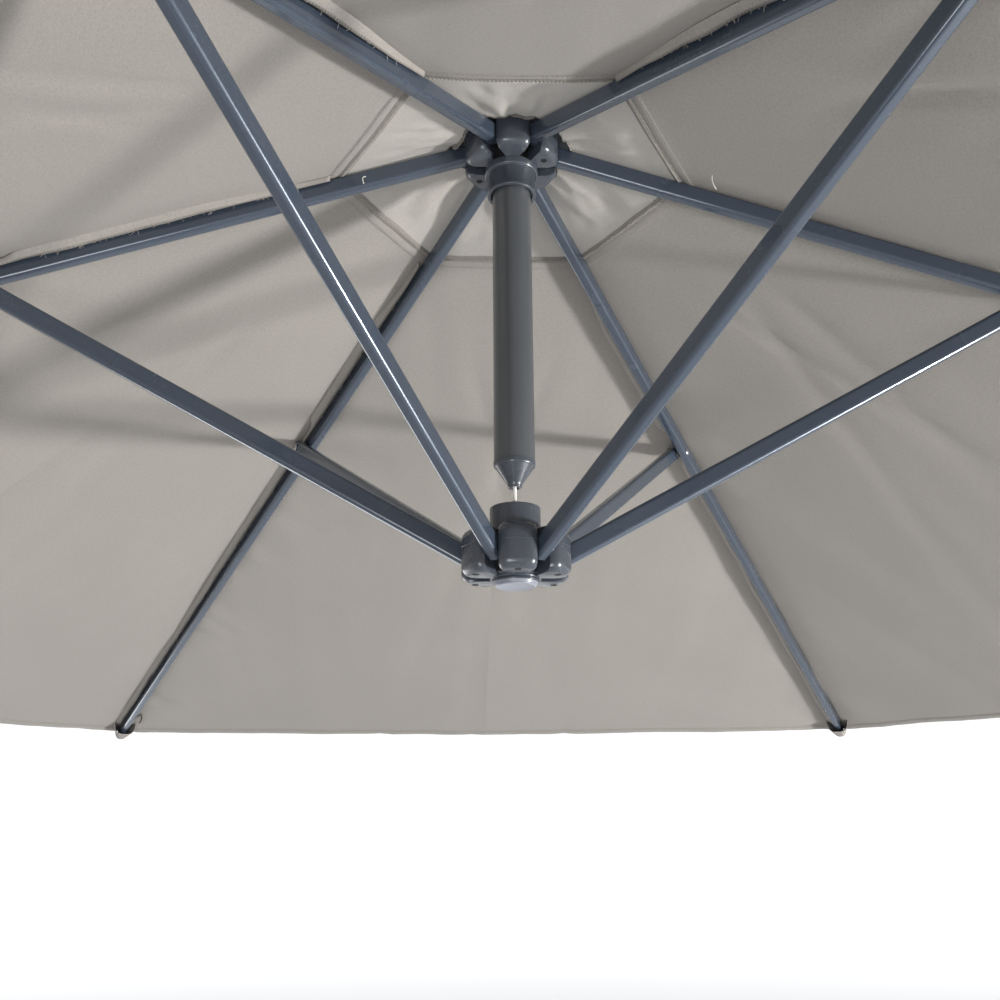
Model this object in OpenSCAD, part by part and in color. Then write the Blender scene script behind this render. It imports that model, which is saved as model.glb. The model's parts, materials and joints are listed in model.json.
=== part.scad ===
// Cantilever parasol, three metre class: a hexagonal canopy that hangs from a bent mast.
// Millimetres. The origin is on the floor under the mast, +Y runs from the mast to the canopy, +Z is up.
// Ribs are numbered anticlockwise from above, starting with the one that points along +X.

/* [Canopy] */
// Hub axis to the end of a rib
canopy_r = 1500; // [1250:10:1800]
// Height of the rib pivots above the floor
hub_z = 2350; // [2150:10:2820]
// Slope of the ribs below the horizontal when open
rib_slope = 17.6; // [12:0.05:22]
// Thickness of the canopy sheet solid
cloth_t = 2; // [1.5:0.1:3]
// How far the canopy corner reaches past the rib end
pocket_reach = 28; // [15:1:40]
// Gap between the top hub and the edge of the cloth round it
hole_gap = 2.5; // [2:0.5:8]
// Gap between the highest line of a rib and the sheet
cloth_gap = 1.8; // [1.6:0.1:4]

/* [Ribs and struts] */
// Width of a rib tube
rib_w = 12.6; // [10.5:0.1:15.2]
// Height of a rib tube
rib_h = 19; // [16:0.1:20]
// Width of a strut tube
strut_w = 11.6; // [9.6:0.1:14]
// Height of a strut tube
strut_h = 18; // [15:0.1:19]
// Wall of both tubes
tube_wall = 1.2; // [0.8:0.1:2]
// Distance along a rib from its pivot to the strut rivet
strut_along = 504.5; // [420:0.5:610]
// Rivet line below the middle of the rib
rivet_drop = 3.5; // [3:0.1:5]
// Washer between a rib and its strut
washer_t = 2.3; // [2:0.1:3]
// Radius of the pivot pins at the hubs
pin_r = 2; // [1.6:0.1:2.4]
// Radius of the strut rivets
rivet_r = 3; // [2.5:0.1:3.6]

/* [Hubs] */
// Radius of the ring of rib pivots, and of the ring of strut pivots
pivot_r = 37; // [36:0.5:44]
// Outer radius of the top hub
top_hub_r = 48; // [47:0.5:56]
// Outer radius of the runner
runner_r = 50.5; // [48:0.5:58]
// Rib pivots to strut pivots when open
runner_drop = 424.5; // [385:0.5:500]
// Outer radius of the hanging tube
crown_tube_r = 19; // [16:0.1:20]
// Wall of the hanging tube
crown_tube_wall = 1.5; // [1:0.1:2]
// Rib pivots to the lower end of the hanging tube
crown_tube_drop = 331; // [290:1:345]

/* [Mast and arm] */
// Outer radius of the mast tube
mast_r = 24; // [20:0.5:28.5]
// Wall of the mast tube
mast_wall = 2; // [1.5:0.1:3]
// Bend radius of the mast, at the middle of the tube
bend_r = 1150; // [1000:10:1200]
// Mast axis to the nearest hem of the canopy
hem_gap = 330; // [300:5:420]
// Rib pivots to the axis of the arm
arm_rise = 140; // [138:1:170]
// Rib pivots to the tilt axis
tilt_rise = 85; // [84:1:90]
// Radius at the groove of the cord pulley
pulley_groove_r = 14; // [12:0.5:15]
// Radius of the hoist cord
cord_r = 2; // [1.5:0.1:2.2]

/* [Crank] */
// Radius of the crank shaft
shaft_r = 5; // [4:0.1:6]
// Radius of the cord drum
drum_r = 15; // [12:0.5:16]
// Crank axis to the knob axis
crank_throw = 120; // [100:5:150]
// Radius of the crank knob
knob_r = 13; // [10:0.5:16]

/* [Base] */
// Half length of a base bar
bar_half = 480; // [400:10:580]
// Width of a base bar
bar_w = 60; // [50:1:72]
// Height of a base bar
bar_h = 30; // [25:1:36]
// Height of a ballast tank
tank_h = 70; // [60:1:90]
// Wall of a ballast tank
tank_wall = 3; // [2:0.5:5]

/* [Hidden] */
$fn = 48;
rib_count = 6;
step = 360 / rib_count;
run_gap = 0.06;       // radial clearance of a pin in its hole
fit_gap = 0.3;        // clearance between pieces that are put together
slot_gap = 0.4;       // clearance on each side of a rib or strut in its slot
bar_wall = 2;
steel = "#4a5159";
dark_plastic = "#33373c";
cloth_colour = "#a09b93";
bright = "#b9bcc0";

// Canopy and arm
corner_r = canopy_r + pocket_reach;
hem_in_r = corner_r * cos(step / 2);
canopy_hole_r = (top_hub_r + hole_gap) / cos(step / 2);
reach = hem_gap + hem_in_r;
arm_z = hub_z + arm_rise;
bend_z = arm_z - bend_r;
tilt_z = hub_z + tilt_rise;
rib_len = (canopy_r - pivot_r) / cos(rib_slope);

// Strut end points in the plane of a rib, measured from the hub axis and the rib pivots
strut_y = rib_w / 2 + washer_t + strut_w / 2;
joint_r = pivot_r + strut_along * cos(rib_slope) - rivet_drop * sin(rib_slope);
joint_z = -strut_along * sin(rib_slope) - rivet_drop * cos(rib_slope);
strut_run = joint_r - pivot_r;
strut_rise = runner_drop + joint_z;
strut_angle = atan(strut_rise / strut_run);
strut_len = sqrt(strut_run * strut_run + strut_rise * strut_rise + strut_y * strut_y);
strut_skew = asin(strut_y / strut_len);
strut_slot_w = strut_w + 2 * slot_gap + 2 * (runner_r - pivot_r + strut_h / 2) * tan(strut_skew);

// Arm end
cheek_r = 20;
cheek_t = 8;
knuckle_w = 30;
fork_x = knuckle_w / 2 + fit_gap;
pulley_r = pulley_groove_r + 3;
pulley_w = 9;
pulley_y = reach - pulley_groove_r - cord_r;
pulley_z = arm_z - pulley_groove_r - cord_r;
axle_r = 3;
tilt_pin_r = 4;
head_half_y = 38;
head_bottom = tilt_z + cheek_r + 5;
head_top = arm_z + 22;
arm_end_y = reach - head_half_y - 8;
neck_z0 = hub_z + 32;
neck_z1 = tilt_z - 10;
crown_tube_top = tilt_z - cheek_r - 4;

// Hubs
lip_r = crown_tube_r + 5.2;
hub_top = 22;
hub_knuckle_low = -18;
hub_lip_low = -50;
collar_r = 23;
collar_top = 49;
runner_top = 25;
runner_low = -17;
flange_low = -20;
cap_low = -23.5;
cap_skirt_r = 76;
cap_t = 2.5;

// Mast, from the bend downwards
joint_at = bend_z - 125;
sleeve_half = 80;
housing_top = joint_at - sleeve_half - 5;
housing_h = 155;
housing_low = housing_top - housing_h;
housing_wall = 3;
housing_x = mast_r + 11;
housing_back = -(mast_r + 14);
drum_y = mast_r + drum_r + 12;
housing_front = drum_y + drum_r + 14;
drum_z = housing_low + 62;
cord_slot_z = housing_top - 78;
cord_entry_z = housing_top + 10;
drum_w = 22;
arm_x = housing_x + 4;
arm_t = 9;
knob_len = 62;

// Base
plate_half = 75;
plate_t = 6;
socket_r = mast_r + 4;
socket_h = 120;
foot_z = bar_h + plate_t;
bolt_at = 55;
bolt_r = 5;
tank_in = bar_w / 2 + 3;
tank_out = bar_half - 8;
tank_corner = 90;
tank_cut_r = plate_half * sqrt(2) + 6;
cap_at = 300;
filler_r = 24;

// ---------- shared shapes ----------

// Rectangle w along X and h along Y with round corners, centred
module round_rect(w, h, r) {
    square([w - 2 * r, h], center = true);
    square([w, h - 2 * r], center = true);
    for (x = [-1, 1], y = [-1, 1])
        translate([x * (w / 2 - r), y * (h / 2 - r)]) circle(r);
}

// Rectangle from corner [x0, y0] to corner [x1, y1] with round corners
module round_span(x0, y0, x1, y1, r) {
    translate([(x0 + x1) / 2, (y0 + y1) / 2]) round_rect(x1 - x0, y1 - y0, r);
}

// Cylinder centred on the origin with its axis along X
module bar_along_x(r, len) {
    rotate([0, 90, 0]) cylinder(r = r, h = len, center = true);
}

// Cylinder centred on the origin with its axis along Y
module bar_along_y(r, len) {
    rotate([90, 0, 0]) cylinder(r = r, h = len, center = true);
}

// Round tube standing on z0
module tube_up(r, wall, z0, z1) {
    translate([0, 0, z0]) difference() {
        cylinder(r = r, h = z1 - z0, $fn = 96);
        translate([0, 0, -1]) cylinder(r = r - wall, h = z1 - z0 + 2, $fn = 96);
    }
}

// Screw along +X from the origin: a head behind it and a shank ahead of it
module screw_x(r, len) {
    translate([len / 2, 0, 0]) bar_along_x(r, len);
    translate([-r * 0.6, 0, 0]) bar_along_x(r * 1.8, r * 1.2);
}

// The hub's own frame: its axis is Z, and the rib pivots lie at z = 0
module at_hub() {
    translate([0, reach, hub_z]) children();
}

// The frame of rib k: +X points outwards along it in plan
module at_rib(k) {
    at_hub() rotate([0, 0, step * (k - 1)]) children();
}

// The rib's own line: +X runs outwards along it from the pivot
module along_rib() {
    translate([pivot_r, 0, 0]) rotate([0, rib_slope, 0]) children();
}

// The strut's own line: +X runs from the rivet down to the runner
module along_strut() {
    translate([joint_r, strut_y, joint_z]) rotate([0, 180 - strut_angle, 0])
        rotate([0, 0, -strut_skew]) children();
}

// ---------- base ----------

module base_bar(notch_low, notch_high) {
    difference() {
        translate([-bar_half, 0, bar_h / 2]) rotate([90, 0, 90])
            linear_extrude(2 * bar_half) difference() {
                round_rect(bar_w, bar_h, 3);
                round_rect(bar_w - 2 * bar_wall, bar_h - 2 * bar_wall, 1.5);
            }
        translate([-bar_w / 2 - fit_gap, -bar_w, notch_low])
            cube([bar_w + 2 * fit_gap, 2 * bar_w, notch_high - notch_low]);
        for (x = [-bolt_at, bolt_at])
            translate([x, 0, bar_h / 2]) cylinder(r = bolt_r + fit_gap, h = bar_h);
    }
}

module base_bar_x() {
    color(steel) base_bar(bar_h / 2 - fit_gap / 2, bar_h + 1);
}

module base_bar_y() {
    color(steel) rotate([0, 0, 90]) base_bar(-1, bar_h / 2 + fit_gap / 2);
}

module base_end_caps() {
    color(dark_plastic) for (k = [0:3]) rotate([0, 0, 90 * k])
        translate([bar_half, 0, bar_h / 2]) rotate([90, 0, 90]) {
            linear_extrude(4) round_rect(bar_w, bar_h, 3);
            translate([0, 0, -18])
                linear_extrude(19) round_rect(bar_w - 2 * bar_wall - 2 * fit_gap,
                    bar_h - 2 * bar_wall - 2 * fit_gap, 1.4);
        }
}

// One quarter tank's outline, drawn in by an amount on every side
module tank_outline(inset) {
    difference() {
        intersection() {
            round_span(tank_in + inset, tank_in + inset, tank_out - inset, tank_out - inset, 12);
            union() {
                square([tank_out - tank_corner, tank_out]);
                square([tank_out, tank_out - tank_corner]);
                translate([tank_out - tank_corner, tank_out - tank_corner])
                    circle(tank_corner - inset, $fn = 96);
            }
        }
        circle(tank_cut_r + inset, $fn = 96);
    }
}

module ballast_tanks() {
    color(dark_plastic) for (k = [0:3]) rotate([0, 0, 90 * k]) difference() {
        linear_extrude(tank_h) tank_outline(0);
        translate([0, 0, tank_wall]) linear_extrude(tank_h - 2 * tank_wall) tank_outline(tank_wall);
        translate([cap_at, cap_at, tank_h - tank_wall - 1]) cylinder(r = filler_r, h = tank_wall + 2);
    }
}

module sand_fill() {
    color("#c9b68c") for (k = [0:3]) rotate([0, 0, 90 * k])
        translate([0, 0, tank_wall + fit_gap])
            linear_extrude((tank_h - 2 * tank_wall) * 0.6) tank_outline(tank_wall + fit_gap);
}

module filler_caps() {
    color("#222528") for (k = [0:3]) rotate([0, 0, 90 * k]) translate([cap_at, cap_at, 0]) {
        translate([0, 0, tank_h + 0.2]) cylinder(r = filler_r + 5, h = 8);
        translate([0, 0, tank_h - 12]) cylinder(r = filler_r - fit_gap, h = 13);
    }
}

module mast_foot() {
    color(steel) difference() {
        union() {
            translate([0, 0, bar_h + plate_t / 2])
                linear_extrude(plate_t, center = true) round_rect(2 * plate_half, 2 * plate_half, 12);
            translate([0, 0, foot_z - 1]) cylinder(r = socket_r, h = socket_h + 1, $fn = 96);
            for (k = [0:3]) rotate([0, 0, 90 * k + 45]) translate([socket_r - 1, 2.5, foot_z - 1])
                rotate([90, 0, 0]) linear_extrude(5) polygon([[0, 0], [48, 0], [48, 8], [6, 80], [0, 80]]);
        }
        translate([0, 0, foot_z]) cylinder(r = mast_r + fit_gap, h = socket_h + 1, $fn = 96);
        for (k = [0:3]) rotate([0, 0, 90 * k]) translate([bolt_at, 0, bar_h - 1])
            cylinder(r = bolt_r + fit_gap, h = plate_t + 2);
    }
}

module foot_bolts() {
    color(bright) for (k = [0:3]) rotate([0, 0, 90 * k]) translate([bolt_at, 0, 0]) {
        translate([0, 0, bar_h - 12]) cylinder(r = bolt_r, h = plate_t + 13);
        translate([0, 0, foot_z + 0.1]) cylinder(r = bolt_r + 5, h = 2);
        translate([0, 0, foot_z + 2]) cylinder(r = 9, h = 7, $fn = 6);
    }
}

// ---------- mast ----------

module mast_lower() {
    color(steel) difference() {
        tube_up(mast_r, mast_wall, foot_z + fit_gap, joint_at);
        translate([-cord_r - 2, 0, cord_slot_z]) cube([2 * cord_r + 4, mast_r + 2, 34]);
    }
}

module mast_upper() {
    color(steel) {
        tube_up(mast_r, mast_wall, joint_at + fit_gap, bend_z);
        translate([0, bend_r, bend_z]) rotate([90, 0, -90])
            rotate_extrude(angle = 90, $fn = 180) translate([bend_r, 0]) difference() {
                circle(mast_r, $fn = 64);
                circle(mast_r - mast_wall, $fn = 64);
            }
        translate([0, bend_r, arm_z]) rotate([-90, 0, 0]) tube_up(mast_r, mast_wall, 0, arm_end_y - bend_r);
    }
}

module mast_sleeve() {
    color(bright) translate([0, 0, joint_at]) difference() {
        cylinder(r = mast_r - mast_wall - fit_gap, h = 2 * sleeve_half, center = true, $fn = 96);
        cylinder(r = mast_r - mast_wall - 3, h = 2 * sleeve_half + 2, center = true, $fn = 96);
    }
}

module mast_screws() {
    color(bright) for (z = [-40, 40], side = [0, 180]) translate([0, 0, joint_at + z])
        rotate([0, 0, side]) translate([mast_r + 2.5, 0, 0]) bar_along_x(6, 4.4);
}

// ---------- crank ----------

module housing_outline(inset) {
    round_span(-housing_x + inset, housing_back + inset, housing_x - inset, housing_front - inset, 16);
}

// Places of the screws that hold the housing halves together
module at_housing_screws() {
    for (z = [housing_low + 16, housing_top - 16], y = [housing_back + 7, housing_front - 9])
        translate([0, y, z]) children();
}

module crank_housing() {
    difference() {
        union() {
            difference() {
                translate([0, 0, housing_low]) linear_extrude(housing_h) housing_outline(0);
                translate([0, 0, housing_low + housing_wall])
                    linear_extrude(housing_h - 2 * housing_wall) housing_outline(housing_wall);
            }
            at_housing_screws() bar_along_x(5, 2 * housing_x - 2);
        }
        translate([0, 0, housing_low - 1]) cylinder(r = mast_r + fit_gap, h = housing_h + 2, $fn = 96);
        translate([0, drum_y, drum_z]) bar_along_x(shaft_r + 3.3, 3 * housing_x);
        at_housing_screws() bar_along_x(2.2, 3 * housing_x);
    }
}

module half_space(side) {
    translate([side * 200 + side * 0.1, 0, 0]) cube([400, 1000, 6000], center = true);
}

module crank_housing_left() {
    color(dark_plastic) intersection() {
        crank_housing();
        half_space(-1);
    }
}

module crank_housing_right() {
    color(dark_plastic) intersection() {
        crank_housing();
        half_space(1);
    }
}

module housing_screws() {
    color(bright) at_housing_screws() translate([-housing_x - 0.1, 0, 0]) screw_x(2, 2 * housing_x - 8);
}

module shaft_bushes() {
    color("#d8d4c8") for (side = [-1, 1]) translate([side * (housing_x - 1), drum_y, drum_z]) difference() {
        bar_along_x(shaft_r + 3, 6);
        bar_along_x(shaft_r + run_gap, 8);
    }
}

module crank_shaft() {
    color(bright) translate([1, drum_y, drum_z]) bar_along_x(shaft_r, 2 * housing_x + 10);
}

module cord_drum() {
    color(dark_plastic) translate([0, drum_y, drum_z]) difference() {
        union() {
            bar_along_x(drum_r, drum_w);
            for (x = [-1, 1]) translate([x * (drum_w / 2 + 1.5), 0, 0]) bar_along_x(drum_r + 7, 3);
        }
        bar_along_x(shaft_r + 0.02, drum_w + 8);
    }
}

module crank_arm() {
    color(steel) translate([arm_x + arm_t / 2, drum_y, drum_z]) difference() {
        union() {
            bar_along_x(15, arm_t);
            translate([0, 0, -crank_throw]) bar_along_x(12, arm_t);
            translate([-arm_t / 2, -9, -crank_throw]) cube([arm_t, 18, crank_throw]);
        }
        translate([-arm_t / 2 - 1, 0, 0]) bar_along_x(shaft_r + 0.02, 2 * (arm_t - 2));
        translate([arm_t, 0, -crank_throw]) bar_along_x(4.05, 2 * arm_t + 1);
    }
    color(bright) translate([arm_x + 2, drum_y, drum_z - crank_throw]) rotate([0, 90, 0])
        cylinder(r = 4, h = knob_len + arm_t - 6);
}

module crank_knob() {
    color("#222528") translate([arm_x + arm_t + 1, drum_y, drum_z - crank_throw]) rotate([0, 90, 0])
        difference() {
            rotate_extrude() difference() {
                union() {
                    round_span(-knob_r, 0, knob_r, knob_len, 6);
                    translate([0, 8]) circle(knob_r + 2);
                }
                translate([-50, -20]) square([50, 200]);
                translate([-50, -20]) square([100, 20]);
            }
            translate([0, 0, -1]) cylinder(r = 4 + run_gap, h = knob_len - 2);
        }
}

// ---------- hoist cord, arm end and pulley ----------

// The hoist cord runs in the plane x = 0, through these [y, z] points, bends included
function bend_points(cy, cz, r, a0, a1, n) =
    [for (i = [0:n]) let (a = a0 + (a1 - a0) * i / n) [cy + r * cos(a), cz + r * sin(a)]];

cord_route = concat(
    [[drum_y - drum_r - cord_r, drum_z], [0, cord_entry_z]],
    bend_points(bend_r, bend_z, bend_r, 180, 90, 40),
    bend_points(pulley_y, pulley_z, pulley_groove_r + cord_r, 90, 0, 8));

// Unit direction of the route at point i
function route_dir(i) = let (d = cord_route[min(i + 1, len(cord_route) - 1)] - cord_route[max(i - 1, 0)])
    d / norm(d);

module hoist_cord() {
    n = len(cord_route);
    sides = 8;
    rings = [for (i = [0:n - 1], j = [0:sides - 1]) let (d = route_dir(i), a = 360 * j / sides)
        [cord_r * cos(a),
         cord_route[i][0] - cord_r * sin(a) * d[1],
         cord_route[i][1] + cord_r * sin(a) * d[0]]];
    walls = [for (i = [0:n - 2], j = [0:sides - 1]) let (k = (j + 1) % sides)
        [i * sides + j, i * sides + k, (i + 1) * sides + k, (i + 1) * sides + j]];
    color("#e8e6e0") polyhedron(rings, concat(walls,
        [[for (j = [sides - 1:-1:0]) j], [for (j = [0:sides - 1]) (n - 1) * sides + j]]));
}

module arm_end_fork() {
    color(dark_plastic) difference() {
        union() {
            translate([0, reach, 0]) intersection() {
                translate([0, 0, head_bottom]) linear_extrude(head_top - head_bottom)
                    round_rect(2 * (fork_x + cheek_t), 2 * head_half_y, 10);
                translate([0, 0, (head_top + head_bottom) / 2]) rotate([0, 90, 0])
                    linear_extrude(200, center = true)
                        round_rect(head_top - head_bottom, 2 * head_half_y, 9);
            }
            for (side = [-1, 1]) translate([side * (fork_x + cheek_t / 2), reach, tilt_z]) {
                bar_along_x(cheek_r, cheek_t);
                translate([-cheek_t / 2, -cheek_r, 0])
                    cube([cheek_t, 2 * cheek_r, head_bottom - tilt_z + 8]);
            }
            translate([0, arm_end_y - 60, arm_z]) rotate([-90, 0, 0])
                cylinder(r = mast_r - mast_wall - fit_gap, h = 80);
            translate([0, arm_end_y + fit_gap, arm_z]) rotate([-90, 0, 0]) cylinder(r = mast_r + 1.5, h = 14);
        }
        translate([0, arm_end_y - 61, arm_z]) rotate([-90, 0, 0]) cylinder(r = 6, h = 80);
        translate([-pulley_w / 2 - 1, pulley_y - pulley_r - 2, head_bottom - 1])
            cube([pulley_w + 2, 2 * pulley_r + 4, pulley_z + pulley_r + 4 - head_bottom]);
        translate([0, reach, 0]) for (side = [-1, 1])
            translate([side * (fork_x + cheek_t / 2), 0, tilt_z])
                bar_along_x(tilt_pin_r + run_gap, cheek_t + 2);
        translate([0, pulley_y, pulley_z]) bar_along_x(axle_r + 0.02, 100);
    }
}

module pulley_axle() {
    color(bright) translate([0, pulley_y, pulley_z]) bar_along_x(axle_r, 2 * (fork_x + cheek_t) + 1);
}

module cord_pulley() {
    color("#d8d4c8") translate([0, pulley_y, pulley_z]) rotate([0, 90, 0]) difference() {
        cylinder(r = pulley_r, h = pulley_w, center = true);
        rotate_extrude() translate([pulley_groove_r + cord_r, 0]) circle(cord_r + 0.25, $fn = 24);
        rotate_extrude() translate([pulley_groove_r + cord_r, -cord_r - 0.25]) square([9, 2 * cord_r + 0.5]);
        cylinder(r = axle_r + run_gap, h = pulley_w + 2, center = true);
    }
}

module tilt_screws() {
    color(bright) for (side = [0, 180]) translate([0, reach, tilt_z]) rotate([0, 0, side]) {
        translate([fork_x + cheek_t / 2 - 4, 0, 0]) bar_along_x(tilt_pin_r, cheek_t + 9);
        translate([fork_x + cheek_t + 1.6, 0, 0]) bar_along_x(8, 3);
    }
}

module tilt_knob() {
    color("#222528") translate([fork_x + cheek_t + 3.4, reach, tilt_z]) rotate([0, 90, 0]) {
        cylinder(r = 11, h = 14);
        for (k = [0:4]) rotate([0, 0, 72 * k]) translate([13, 0, 0]) cylinder(r = 5.5, h = 12);
    }
}

// ---------- crown: everything that tilts with the hanging tube ----------

module crown_tube() {
    color(steel) translate([0, reach, 0])
        tube_up(crown_tube_r, crown_tube_wall, hub_z - crown_tube_drop, crown_tube_top);
}

module crown_knuckle() {
    neck_r = crown_tube_r - crown_tube_wall - 0.2;
    color(dark_plastic) translate([0, reach, 0]) difference() {
        union() {
            translate([0, 0, tilt_z]) bar_along_x(cheek_r, knuckle_w);
            translate([-knuckle_w / 2, -neck_r, crown_tube_top + fit_gap])
                cube([knuckle_w, 2 * neck_r, tilt_z - crown_tube_top]);
            translate([0, 0, neck_z0]) cylinder(r = neck_r, h = crown_tube_top + 1 - neck_z0);
        }
        translate([0, 0, neck_z0 - 1]) cylinder(r = cord_r + 1.5, h = tilt_z - neck_z0 + cheek_r + 5);
        translate([-cord_r - 1.5, -cheek_r - 2, tilt_z]) cube([2 * cord_r + 3, 2 * cheek_r + 4, cheek_r + 4]);
        for (side = [-1, 1]) translate([side * knuckle_w / 2, 0, tilt_z])
            bar_along_x(tilt_pin_r + run_gap, 18);
    }
}

module cone_end() {
    top = -crown_tube_drop;
    color(dark_plastic) at_hub() difference() {
        union() {
            rotate_extrude() polygon([[0, top], [crown_tube_r + 0.4, top], [crown_tube_r + 0.4, top - 2.5],
                [7.4, top - 22], [6.2, top - 25], [0, top - 25]]);
            translate([0, 0, top]) cylinder(r = crown_tube_r - crown_tube_wall - fit_gap, h = 18);
        }
        translate([0, 0, top - 40]) cylinder(r = cord_r + 0.6, h = 70);
    }
}

// Radial slots, one for each rib, from radius r0 outwards
module radial_slots(r0, width, z0, z1) {
    for (k = [1:rib_count]) rotate([0, 0, step * (k - 1)])
        translate([r0, -width / 2, z0]) cube([100, width, z1 - z0]);
}

module pivot_holes(half_len) {
    for (k = [1:rib_count]) rotate([0, 0, step * (k - 1)])
        translate([pivot_r, 0, 0]) bar_along_y(pin_r + run_gap, 2 * half_len);
}

module top_hub() {
    color(dark_plastic) at_hub() difference() {
        union() {
            rotate_extrude($fn = 96) round_span(crown_tube_r + 1, hub_knuckle_low, top_hub_r, hub_top, 9);
            translate([0, 0, hub_lip_low]) cylinder(r = lip_r, h = hub_top - hub_lip_low, $fn = 96);
        }
        translate([0, 0, -100]) cylinder(r = crown_tube_r + 0.1, h = 200, $fn = 96);
        difference() {
            radial_slots(lip_r - 1, rib_w + 2 * slot_gap, -100, 100);
            translate([0, 0, -101]) cylinder(r = lip_r, h = 202, $fn = 96);
        }
        pivot_holes(rib_w / 2 + 10.6);
    }
}

module hub_pins() {
    color(bright) at_hub() for (k = [1:rib_count]) rotate([0, 0, step * (k - 1)])
        translate([pivot_r, 0, 0]) bar_along_y(pin_r, rib_w + 20);
}

module crown_cap() {
    low = hub_top - 11;
    high = hub_top + 7;
    r0 = crown_tube_r + 0.5;
    color(dark_plastic) at_hub() rotate_extrude($fn = 96)
        polygon([[r0, hub_top + 0.5], [top_hub_r + 2, hub_top + 0.5], [cap_skirt_r, low],
            [cap_skirt_r, low + cap_t], [top_hub_r - 8, high], [r0 + 5, high],
            [r0 + 5, high + 6], [r0, high + 6]]);
}

// ---------- runner ----------

module at_runner() {
    at_hub() translate([0, 0, -runner_drop]) children();
}

module runner_hub() {
    color(dark_plastic) at_runner() difference() {
        union() {
            rotate_extrude($fn = 96) round_span(10, runner_low, runner_r, runner_top, 9);
            translate([0, 0, flange_low]) cylinder(r = collar_r, h = collar_top - flange_low, $fn = 96);
        }
        difference() {
            radial_slots(collar_r, strut_slot_w, -100, 100);
            translate([0, 0, -101]) cylinder(r = collar_r + 1.5, h = 202, $fn = 96);
        }
        translate([0, 0, 4]) cylinder(r = collar_r - 4, h = collar_top);
        translate([0, 0, flange_low - 1]) cylinder(r = cord_r + 0.6, h = 60);
        translate([0, 0, flange_low - 1]) cylinder(r = 9, h = 12);
        for (k = [1:rib_count]) rotate([0, 0, step * (k - 0.5)])
            translate([pivot_r + 3, 0, runner_low - 1]) cylinder(r = 2.5, h = 12);
    }
}

module runner_cap() {
    color("#8a8a96") at_runner() {
        translate([0, 0, cap_low]) cylinder(r = 20.5, h = flange_low - cap_low - 0.1, $fn = 96);
        translate([0, 0, flange_low - 0.2]) cylinder(r = 8.6, h = 6);
    }
}

module runner_screws() {
    color(bright) at_runner() for (k = [1:rib_count]) rotate([0, 0, step * (k - 0.5)])
        translate([pivot_r + 3, 0, runner_low + 2]) cylinder(r = 2.4, h = 8);
}

module hoist_cord_drop() {
    color("#e8e6e0") at_hub() {
        translate([0, 0, 5.5 - runner_drop]) cylinder(r = cord_r, h = runner_drop + 14, $fn = 16);
        translate([0, 0, 4.1 - runner_drop]) cylinder(r = 5, h = 8, $fn = 24);
    }
}

// ---------- ribs, struts and canopy ----------

// Flat sided tube along +X with round solid ends
module flat_tube(w, h, len, wall, tail) {
    difference() {
        union() {
            bar_along_y(h / 2, w);
            rotate([90, 0, 90]) linear_extrude(len + tail) round_rect(w, h, 4);
        }
        translate([h / 2, 0, 0]) rotate([90, 0, 90])
            linear_extrude(len) round_rect(w - 2 * wall, h - 2 * wall, 3);
    }
}

module rib(k) {
    color(steel) at_rib(k) along_rib() difference() {
        flat_tube(rib_w, rib_h, rib_len, tube_wall, 0);
        bar_along_y(pin_r + run_gap, rib_w + 4);
        translate([strut_along, 0, -rivet_drop]) bar_along_y(rivet_r + 0.02, rib_w + 4);
    }
}

// Tip cap, strut rivet and its washer
module rib_fittings(k) {
    head_gap = 0.3;
    low = -rib_w / 2 - head_gap;
    high = strut_y + strut_w / 2 + 1.1;
    at_rib(k) along_rib() {
        color(dark_plastic) translate([rib_len, 0, 0]) rotate([90, 0, 90]) {
            translate([0, 0, 0.1]) linear_extrude(4) round_rect(rib_w, rib_h, 4);
            translate([0, 0, -20]) linear_extrude(21)
                round_rect(rib_w - 2 * tube_wall - 0.4, rib_h - 2 * tube_wall - 0.4, 2.8);
        }
        color(bright) translate([strut_along, 0, -rivet_drop]) {
            translate([0, (low + high) / 2, 0]) bar_along_y(rivet_r, high - low);
            translate([0, low - 0.8, 0]) bar_along_y(rivet_r + 2.4, 1.8);
            translate([0, high + 0.8, 0]) bar_along_y(rivet_r + 2.4, 1.8);
        }
        color(dark_plastic) translate([strut_along, rib_w / 2 + washer_t / 2 - 0.25, -rivet_drop])
            difference() {
                bar_along_y(7, washer_t - 0.8);
                bar_along_y(rivet_r + 0.05, washer_t + 2);
            }
    }
}

module strut(k) {
    color(steel) at_rib(k) difference() {
        along_strut() {
            difference() {
                flat_tube(strut_w, strut_h, strut_len - strut_h, tube_wall, strut_h);
                translate([strut_len + 6, -50, -50]) cube(100);
            }
        }
        translate([joint_r, strut_y, joint_z]) bar_along_y(rivet_r + run_gap, strut_w + 6);
        translate([pivot_r, 0, -runner_drop]) bar_along_y(pin_r + 0.02, strut_w + 6);
    }
    color(bright) at_rib(k) translate([pivot_r, 0, -runner_drop]) bar_along_y(pin_r, strut_w - 1);
}

// Height of the sheet's underside over a rib, at distance r from the hub axis
function sheet_z(r) = rib_h / 2 / cos(rib_slope) + cloth_gap - (r - pivot_r) * tan(rib_slope);

// Points of a sector's hem at hub distance r: right middle, rib, left middle, raised by dz
function hem_points(r, dz) =
    let (half = r / 2 - 0.25, back = half * sin(step / 2), side = half * cos(step / 2))
    [[r - back, -side, sheet_z(r) + dz], [r, 0, sheet_z(r) + dz], [r - back, side, sheet_z(r) + dz]];

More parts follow.
